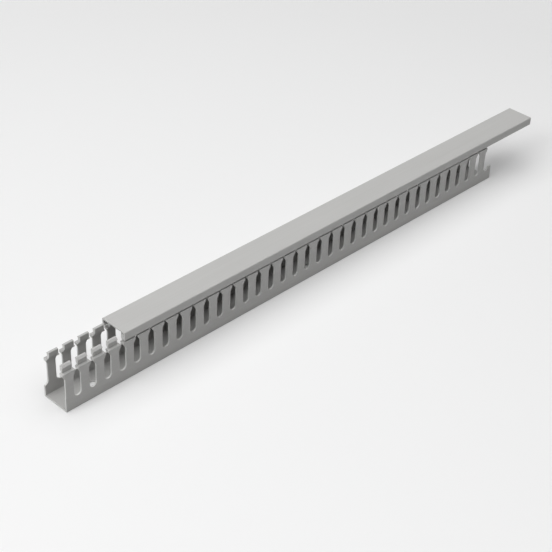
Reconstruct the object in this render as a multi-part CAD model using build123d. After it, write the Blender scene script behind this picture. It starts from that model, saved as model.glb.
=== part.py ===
from build123d import *
import os

# A slotted wiring duct: an extruded channel whose walls are punched into fingers with
# hooked heads, and the extruded cover that clips over the heads and slides along them.
# X runs along the duct, Y across it and Z up. The origin is the middle of the underside.

# Overall sizes, mm
duct_length = 500.0
duct_width = 26.0
duct_height = 44.0          # underside of the base to the top of the cover
cover_length = 500.0
cover_slide = 56.2          # how far the cover stands slid along from flush

# Walls, outer edges and the cover's running clearance
base_wall = 1.4
floor_wall = 1.4
cover_wall = 1.3
base_edge_radius = 0.6
cover_edge_radius = 0.9
fit_gap = 0.3

# Slots between the fingers
slot_pitch = 14.15
slot_width = 6.6
first_slot_edge = 0.4       # the first near slot's right edge, in from the cut end
slot_foot = 10.7            # underside of the base to the bottom of a slot
shoulder_rise = 3.5         # height over which a slot narrows to its neck
neck_drop = 1.7             # height of its neck, from there up to the step
neck_width = 2.6            # gap between the ears of two neighbouring fingers
head_gap = 5.8              # gap between their heads, above the step
far_wall_shift = 2.8        # the far wall's slots stand this much further along

# Clip fit: the skirt and hook of the cover, the step, neck and head of a finger
skirt_depth = 7.1
hook_reach = 0.8
hook_lead = 1.0             # height of the slope under the hook
hook_land = 1.4             # height of the hook's upright tip
barb_slope = 0.4            # rise of the hook's upper face and of the head's underside
step_gap = 1.5              # between the skirt's lower edge and the step
neck_wall = 1.5
neck_rise = 1.4             # height of the inside of the neck
head_inset = 1.1            # how far the head stands in past the inside of the neck
head_land = 0.2             # height of the head's upright outer face
head_lead = 1.5             # how far the head's outer slope leans in to its top
head_chamfer = 0.4          # the head's inner top corner
top_gap = 1.0               # between the heads and the underside of the cover's top

# Mounting holes along the middle of the floor
hole_width = 4.6
hole_length = 9.4
first_hole = 32.5           # the cut end to the middle of the first hole
hole_spacing = 230.0
hole_count = 2

# How far a cut passes beyond the wall it is made in
cut_overrun = 1.0

# What follows from them
half_width = duct_width / 2
half_length = duct_length / 2
past_end = slot_pitch * 2
wall_in = half_width - base_wall
skirt_foot = duct_height - skirt_depth
skirt_in = half_width - cover_wall
hook_tip = skirt_in - hook_reach
hook_top = skirt_foot + hook_lead + hook_land
step_height = skirt_foot - step_gap
neck_foot = step_height - neck_drop
shoulder_foot = neck_foot - shoulder_rise
neck_out = hook_tip - fit_gap
neck_in = neck_out - neck_wall
head_foot = hook_top + fit_gap
head_out = skirt_in - fit_gap
head_in = neck_in - head_inset
head_top = duct_height - cover_wall - top_gap
bend_top = step_height - base_wall / 2
bulge_foot = bend_top + neck_rise
finger_root = slot_foot + slot_width / 2


def base_section():
    """The channel's section: floor, two walls, and each wall's step, neck and hooked head."""
    right_half = [
        (half_width, 0),
        (half_width, step_height),
        (neck_out, step_height),
        (neck_out, head_foot),
        (head_out, head_foot + barb_slope),
        (head_out, head_foot + barb_slope + head_land),
        (head_out - head_lead, head_top),
        (head_in + head_chamfer, head_top),
        (head_in, head_top - head_chamfer),
        (head_in, bulge_foot + head_inset),
        (neck_in, bulge_foot),
        (neck_in, bend_top),
        (wall_in, bend_top - (wall_in - neck_in)),
        (wall_in, floor_wall),
    ]
    outline = mirrored_face(right_half)
    return fillet(outline.vertices().group_by(Axis.Y)[0], base_edge_radius)


def cover_section():
    """The cover's section: a flat top with two skirts, each with an inward hook at its edge."""
    right_half = [
        (half_width, duct_height),
        (half_width, skirt_foot),
        (skirt_in, skirt_foot),
        (hook_tip, skirt_foot + hook_lead),
        (hook_tip, hook_top),
        (skirt_in, hook_top + barb_slope),
        (skirt_in, duct_height - cover_wall),
    ]
    outline = mirrored_face(right_half)
    return fillet(outline.vertices().group_by(Axis.Y)[-1], cover_edge_radius)


def mirrored_face(right_half):
    """A face from the points of its right half, mirrored about the middle of the duct."""
    left_half = [(-across, up) for across, up in reversed(right_half)]
    return make_face(Polyline(*right_half, *left_half, close=True))


def slot_outline():
    """A bottle-shaped slot: round foot, straight sides, sloping shoulders, neck and wider mouth."""
    with BuildSketch() as outline:
        with BuildLine():
            foot = JernArc((0, slot_foot), (1, 0), slot_width / 2, 90)
            flank = Line(foot @ 1, (slot_width / 2, shoulder_foot))
            shoulder = Line(flank @ 1, (neck_width / 2, neck_foot))
            neck = Line(shoulder @ 1, (neck_width / 2, step_height))
            ear = Line(neck @ 1, (head_gap / 2, step_height))
            mouth = Line(ear @ 1, (head_gap / 2, duct_height))
            Line(mouth @ 1, (0, duct_height))
            mirror(about=Plane.YZ)
        make_face()
    return outline.sketch


def slot_centres(shift):
    """Where the slots of one wall stand: the first has its right edge near the cut end."""
    first = shift - half_length + first_slot_edge - slot_width / 2
    last_edge = half_length + slot_width / 2
    count = int((last_edge - first) / slot_pitch) + 1
    return [first + number * slot_pitch for number in range(count)]


def wall_cuts(side, shift):
    """The slots of one wall, and the part fingers that are snipped off past its end slots."""
    reach = half_width - head_in + cut_overrun
    rise = duct_height - finger_root
    punch = extrude(Plane.XZ * slot_outline(), amount=reach, both=True)
    snip = Box(past_end, reach * 2, rise, align=(Align.MIN, Align.CENTER, Align.MIN))
    centres = slot_centres(shift)
    cuts = [Pos(centre, side * half_width, 0) * punch for centre in centres]
    cuts.append(Pos(centres[-1], side * half_width, finger_root) * snip)
    cuts.append(Pos(centres[0] - past_end, side * half_width, finger_root) * snip)
    return cuts


def end_cuts():
    """The cut ends of the floor and of the walls, which leave the overhanging ears whole."""
    across = duct_width + cut_overrun * 2
    block = Box(past_end, across, shoulder_foot, align=(Align.MIN, Align.CENTER, Align.MIN))
    return [Pos(half_length, 0, 0) * block, Pos(-half_length - past_end, 0, 0) * block]


def mounting_holes():
    """Obround holes through the floor, long way along the duct."""
    hole = extrude(SlotOverall(hole_length, hole_width), amount=floor_wall)
    first = first_hole - half_length
    return [Pos(first + number * hole_spacing, 0, 0) * hole for number in range(hole_count)]


def slotted_base():
    """The channel: one extrusion, punched along both walls, cut to length and drilled."""
    channel = extrude(Plane.YZ * base_section(), amount=half_length + slot_pitch, both=True)
    cuts = wall_cuts(-1, 0) + wall_cuts(1, far_wall_shift) + end_cuts() + mounting_holes()
    return channel - cuts


def clip_on_cover():
    """The cover: one extrusion, slid along the base as it stands."""
    cover = extrude(Plane.YZ * cover_section(), amount=cover_length / 2, both=True)
    return Pos(cover_slide, 0, 0) * cover


os.makedirs("parts", exist_ok=True)
for name, piece in (("slotted_base", slotted_base()), ("clip_on_cover", clip_on_cover())):
    export_step(piece, f"parts/{name}.step")
    box = piece.bounding_box()
    print(name, round(piece.volume), [round(v, 2) for v in (*box.min, *box.max)])
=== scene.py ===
from math import radians

import bpy
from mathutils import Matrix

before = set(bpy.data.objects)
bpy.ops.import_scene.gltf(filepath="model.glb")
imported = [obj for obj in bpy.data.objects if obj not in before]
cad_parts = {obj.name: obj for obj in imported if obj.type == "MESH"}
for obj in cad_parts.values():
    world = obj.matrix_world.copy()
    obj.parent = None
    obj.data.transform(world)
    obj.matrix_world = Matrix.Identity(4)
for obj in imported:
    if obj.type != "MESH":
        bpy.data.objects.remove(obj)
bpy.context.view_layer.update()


# The duct: one extruded channel of grey PVC. Its two walls are punched into fingers with
# hooked heads, it is sawn to length between two slots, and obround holes are punched
# through its floor for the screws that hold it to a panel.
class Shade:
    """A socket of a material. Python's operators on it add Math nodes to the material."""

    def __init__(self, tree, socket=None):
        self.tree, self.socket = tree, socket

    def add(self, kind, settings=None, inputs=None, output=0):
        """Any other node: its type, then its settings, then the values or links of its sockets."""
        node = self.tree.nodes.new(kind)
        for name, value in (settings or {}).items():
            setattr(node, name, value)
        for name, value in (inputs or {}).items():
            if isinstance(value, Shade):
                self.tree.links.new(value.socket, node.inputs[name])
            else:
                node.inputs[name].default_value = value
        return Shade(self.tree, node.outputs[output])

    def math(self, operation, first, second=0.0):
        return self.add("ShaderNodeMath", {"operation": operation}, {0: first, 1: second})

    def __add__(self, other):
        return self.math("ADD", self, other)

    def __sub__(self, other):
        return self.math("SUBTRACT", self, other)

    def __rsub__(self, other):
        return self.math("SUBTRACT", other, self)

    def __mul__(self, other):
        return self.math("MULTIPLY", self, other)

    def __or__(self, other):
        """The larger of two masks."""
        return self.math("MAXIMUM", self, other)

    def __abs__(self):
        return self.math("ABSOLUTE", self)

    __radd__, __rmul__ = __add__, __mul__

    def between(self, low, high, rise="SMOOTHSTEP"):
        """0 below low and 1 above high, with a smooth or a straight rise."""
        return self.add("ShaderNodeMapRange", {"interpolation_type": rise},
                        {"Value": self, "From Min": low, "From Max": high})


def axes(tree, kind):
    """The along, across and up parts of a Texture Coordinate output, Normal or Object."""
    vector = Shade(tree).add("ShaderNodeTexCoord", output=kind)
    return [vector.add("ShaderNodeSeparateXYZ", inputs={"Vector": vector}, output=axis)
            for axis in "XYZ"]


def grey(tree, level):
    """A colour whose three parts are all at one level."""
    return Shade(tree).add("ShaderNodeCombineColor",
                           inputs={"Red": level, "Green": level, "Blue": level})


def punched_faces(tree):
    """1 where the slot punch or the hole punch has cut: in the walls, every face from the floor
    up to the step that doesn't look across the duct; in the floor, the walls of the holes."""
    floor_top, step_height = 0.0014, 0.0354
    hole_reach = 0.0035         # out from the middle of the floor, past the sides of the holes
    trim = 0.0002               # height or width over which a mask rises
    oblique, square = 0.4, 0.6  # the normal's part across the duct, where the mask falls
    faces_across = abs(axes(tree, "Normal")[1])
    place_across, place_up = axes(tree, "Object")[1:]
    above_floor = place_up.between(floor_top + trim, floor_top + 2 * trim)
    below_step = 1 - place_up.between(step_height - 2 * trim, step_height - trim)
    slot_cut = (1 - faces_across.between(oblique, square)) * above_floor * below_step
    in_floor = place_up.between(0, trim) * (1 - place_up.between(floor_top - trim, floor_top))
    near_middle = 1 - abs(place_across).between(hole_reach, hole_reach + trim)
    return slot_cut | in_floor * near_middle


def sawn_faces(tree):
    """1 on the faces that look along the duct: its sawn ends and the flanks of its slots."""
    oblique, square = 0.5, 0.85  # the normal's part along the duct, where the mask rises
    return abs(axes(tree, "Normal")[0]).between(oblique, square)


rim_width = 0.0005  # how far from a cut its rim reaches
cut_length = 0.5    # both extrusions are sawn to this length


def slot_rims(tree):
    """1 at the edge of a slot, falling to 0 a rim's width away. The distance to the edge is the
    distance to the slot's middle line, or to the middle of its round foot, less half the
    slot's width, which narrows over the shoulder. The far wall's slots are shifted."""
    pitch, first_slot, far_shift = 0.01415, -0.2529, 0.0028
    half_width, half_neck = 0.0033, 0.0013
    foot_middle, shoulder_foot, neck_foot = 0.0140, 0.0302, 0.0337
    midway = 0.001  # well inside the duct, where the near wall's half ends
    half_a_pitch = 0.5
    along, across, up = axes(tree, "Object")
    on_far_wall = across.between(-midway, midway)
    pitches_along = (along - far_shift * on_far_wall - first_slot) * (1 / pitch)
    beside = pitches_along.math("PINGPONG", pitches_along, half_a_pitch) * pitch
    below = up.math("MINIMUM", up - foot_middle, 0)
    from_middle = up.math("SQRT", beside * beside + below * below)
    narrowed = up.between(shoulder_foot, neck_foot, "LINEAR") * (half_width - half_neck)
    to_edge = from_middle + narrowed - half_width
    return 1 - to_edge.between(0, rim_width)


def sawn_rims(tree, middle):
    """1 at a sawn end, falling to 0 a rim's width away from it. The distance to the nearer end
    is half the length less the distance to the middle."""
    to_end = cut_length / 2 - abs(axes(tree, "Object")[0] - middle)
    return 1 - to_end.between(0, rim_width)


def extruded_pvc(name, cut_faces, rims, grain_seed):
    """Satin PVC as it leaves the die: faint streaks along the length, slow changes of tone and a
    fine grain. Where it has been cut it is rougher, with upright shear marks, and paler: partly
    plastic stressed white there, partly painted light on the cut faces. The rim of each cut is
    drawn in a little by the punch or the saw, and paler: slightly whitened and a painted
    highlight."""
    # The paler colour of the cut faces is stress whitening and painted light at once: it also
    # makes those faces look lit.
    face_colour, cut_colour_whitened_and_painted_light = (0.468, 0.465, 0.455, 1), (0.74, 0.74, 0.725, 1)
    # The rims' share of the paler colour is partly whitening from the punch and the saw and partly
    # a painted highlight along each edge.
    darkest, streak_tone, slow_tone, grain_tone, rim_whitening_and_painted_highlight = 0.885, 0.11, 0.08, 0.04, 0.3
    face_roughness, streak_roughness, grain_roughness, cut_roughness = 0.40, 0.10, 0.08, 0.22
    streak_relief, grain_relief, shear_relief, rim_relief = 0.25, 0.10, 0.35, 1.2
    relief_depth = 0.0001

    material = bpy.data.materials.new(name)
    material.use_nodes = True
    tree = material.node_tree
    surface = tree.nodes["Principled BSDF"]
    surface.inputs["IOR"].default_value = 1.53
    place = Shade(tree).add("ShaderNodeTexCoord", output="Object")
    cut = cut_faces(tree)
    rim = rims(tree) * (1 - cut)

    def noise(along, across, up, detail=2.0):
        """Noise with so many spots per metre along each axis."""
        stretched = place.add("ShaderNodeMapping", inputs={
            "Vector": place, "Scale": (along, across, up), "Location": (grain_seed, 0, 0)})
        return place.add("ShaderNodeTexNoise", inputs={
            "Vector": stretched, "Scale": 1.0, "Detail": detail})

    streaks = noise(9, 900, 900, detail=3.0)
    tone = noise(16, 60, 60)
    grain = noise(2600, 2600, 2600)
    shear = noise(1500, 1500, 130)

    bright = darkest + streak_tone * streaks + slow_tone * tone + grain_tone * grain
    # Cut faces and rims get the paler colour here: whitening and painted light on the cut faces,
    # whitening and a painted highlight on the rims.
    plain = place.add("ShaderNodeMix", {"data_type": "RGBA"}, {
        "Factor": cut + rim_whitening_and_painted_highlight * rim, "A": face_colour, "B": cut_colour_whitened_and_painted_light}, "Result")
    toned = place.add("ShaderNodeMix", {"data_type": "RGBA", "blend_type": "MULTIPLY"}, {
        "Factor": 1.0, "A": plain, "B": grey(tree, bright)}, "Result")
    rough = (face_roughness + streak_roughness * streaks + grain_roughness * grain
             + cut_roughness * cut)
    relief = ((streak_relief * streaks + grain_relief * grain) * (1 - cut)
              + shear_relief * shear * cut - rim_relief * rim)
    bump = place.add("ShaderNodeBump", inputs={
        "Strength": 1.0, "Distance": relief_depth, "Height": relief})
    tree.links.new(toned.socket, surface.inputs["Base Color"])
    tree.links.new(rough.socket, surface.inputs["Roughness"])
    tree.links.new(bump.socket, surface.inputs["Normal"])
    return material


def duct_cuts(tree):
    """Everything that has been cut on the duct: its slots, its holes and its two ends."""
    return punched_faces(tree) | sawn_faces(tree)


def duct_rims(tree):
    """The rims of the duct's slots and of its two ends. Its middle is the origin."""
    return slot_rims(tree) | sawn_rims(tree, middle=0.0)


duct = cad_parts["slotted_base"]
duct.data.materials.clear()
duct.data.materials.append(extruded_pvc("duct_pvc", duct_cuts, duct_rims, grain_seed=0.0))

# The cover: the second extrusion, from the same PVC and of the same length. It is pushed on
# over the finger heads, where its two inward hooks hold it, and has been slid along.
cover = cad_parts["clip_on_cover"]


def cover_rims(tree):
    """The rims of the cover's two ends, whose middle stands where the cover was slid to."""
    places_along = [vertex.co.x for vertex in cover.data.vertices]
    return sawn_rims(tree, middle=(min(places_along) + max(places_along)) / 2)


cover.data.materials.clear()
cover.data.materials.append(extruded_pvc("cover_pvc", sawn_faces, cover_rims, grain_seed=37.0))


# The stage: a wide sheet of pale paper that carries the shadow. To the camera it looks whiter
# than the light finds it, and far from the duct it fades into the pale studio, as a paper
# sweep does, so that the ground is pale from every side and throws little light back.
def rays_that_look(tree):
    """1 for a ray that looks, from the camera or by way of a gloss or a clear piece, and 0 for
    one that gathers light."""
    camera_ray, glossy_ray, clear_ray = [
        Shade(tree).add("ShaderNodeLightPath", output=f"Is {kind} Ray")
        for kind in ("Camera", "Glossy", "Transmission")]
    return camera_ray | glossy_ray | clear_ray


paper_reach = 8.0
fade_from, fade_to = 0.5, 1.2
lit_whiteness, added_whiteness, backdrop_level = 0.62, 0.30, 0.9
corners = [(along * paper_reach, across * paper_reach, 0)
           for along, across in ((-1, -1), (1, -1), (1, 1), (-1, 1))]
sheet = bpy.data.meshes.new("studio_paper")
sheet.from_pydata(corners, [], [(0, 1, 2, 3)])
stage = bpy.data.objects.new("studio_paper", sheet)
bpy.context.scene.collection.objects.link(stage)

paper = bpy.data.materials.new("studio_paper")
paper.use_nodes = True
paper_tree = paper.node_tree
matt = paper_tree.nodes["Principled BSDF"]
matt.inputs["Roughness"].default_value = 0.9
matt.inputs["Specular IOR Level"].default_value = 0.1
looks = rays_that_look(paper_tree)
white = grey(paper_tree, lit_whiteness + added_whiteness * looks)
paper_tree.links.new(white.socket, matt.inputs["Base Color"])
spot = looks.add("ShaderNodeTexCoord", output="Object")
distance = looks.add("ShaderNodeVectorMath", {"operation": "LENGTH"}, {0: spot}, "Value")
glow = looks.add("ShaderNodeEmission", inputs={"Strength": backdrop_level})
faded = looks.add("ShaderNodeMixShader", inputs={
    0: looks * distance.between(fade_from, fade_to),
    1: Shade(paper_tree, matt.outputs["BSDF"]),
    2: glow})
paper_tree.links.new(faded.socket, paper_tree.nodes["Material Output"].inputs["Surface"])
sheet.materials.append(paper)

# The light: a wide soft box overhead and a small one past the duct's cut end. Their light is
# followed for one bounce. The studio behind is pale to look at and gives no light of its own.
for name, size, watts, place, tilt in (
        ("wide_soft_box", (4.0, 3.0), 58, (-0.7, 0.0, 1.6), 0),
        ("end_soft_box", (0.9, 0.9), 9, (-1.9, 0.1, 1.6), -50)):
    light = bpy.data.lights.new(name, "AREA")
    light.shape = "RECTANGLE"
    light.size, light.size_y = size
    light.energy = watts
    light.cycles.max_bounces = 1
    lamp = bpy.data.objects.new(name, light)
    lamp.location = place
    lamp.rotation_euler = (0, radians(tilt), 0)
    bpy.context.scene.collection.objects.link(lamp)

studio = bpy.data.worlds.new("studio")
studio.use_nodes = True
shown = backdrop_level * rays_that_look(studio.node_tree)
backdrop = studio.node_tree.nodes["Background"]
backdrop.inputs["Color"].default_value = (1, 1, 1, 1)
studio.node_tree.links.new(shown.socket, backdrop.inputs["Strength"])
bpy.context.scene.world = studio

# The camera: a long lens, above the duct's near side and past its cut end. Its place, turn and
# lens were fitted to the rows of slots and the long edges in the photograph.
lens = bpy.data.cameras.new("camera")
lens.lens = 90.63
lens.sensor_width = 36
lens.clip_start, lens.clip_end = 0.05, 60
tilt, roll, turn = 55.051, -2.049, -45.029
camera = bpy.data.objects.new("camera", lens)
camera.location = (-0.70585, -0.65031, 0.66687)
camera.rotation_euler = (radians(tilt), radians(roll), radians(turn))
bpy.context.scene.collection.objects.link(camera)
bpy.context.scene.camera = camera
bpy.context.scene.view_settings.view_transform = "Standard"
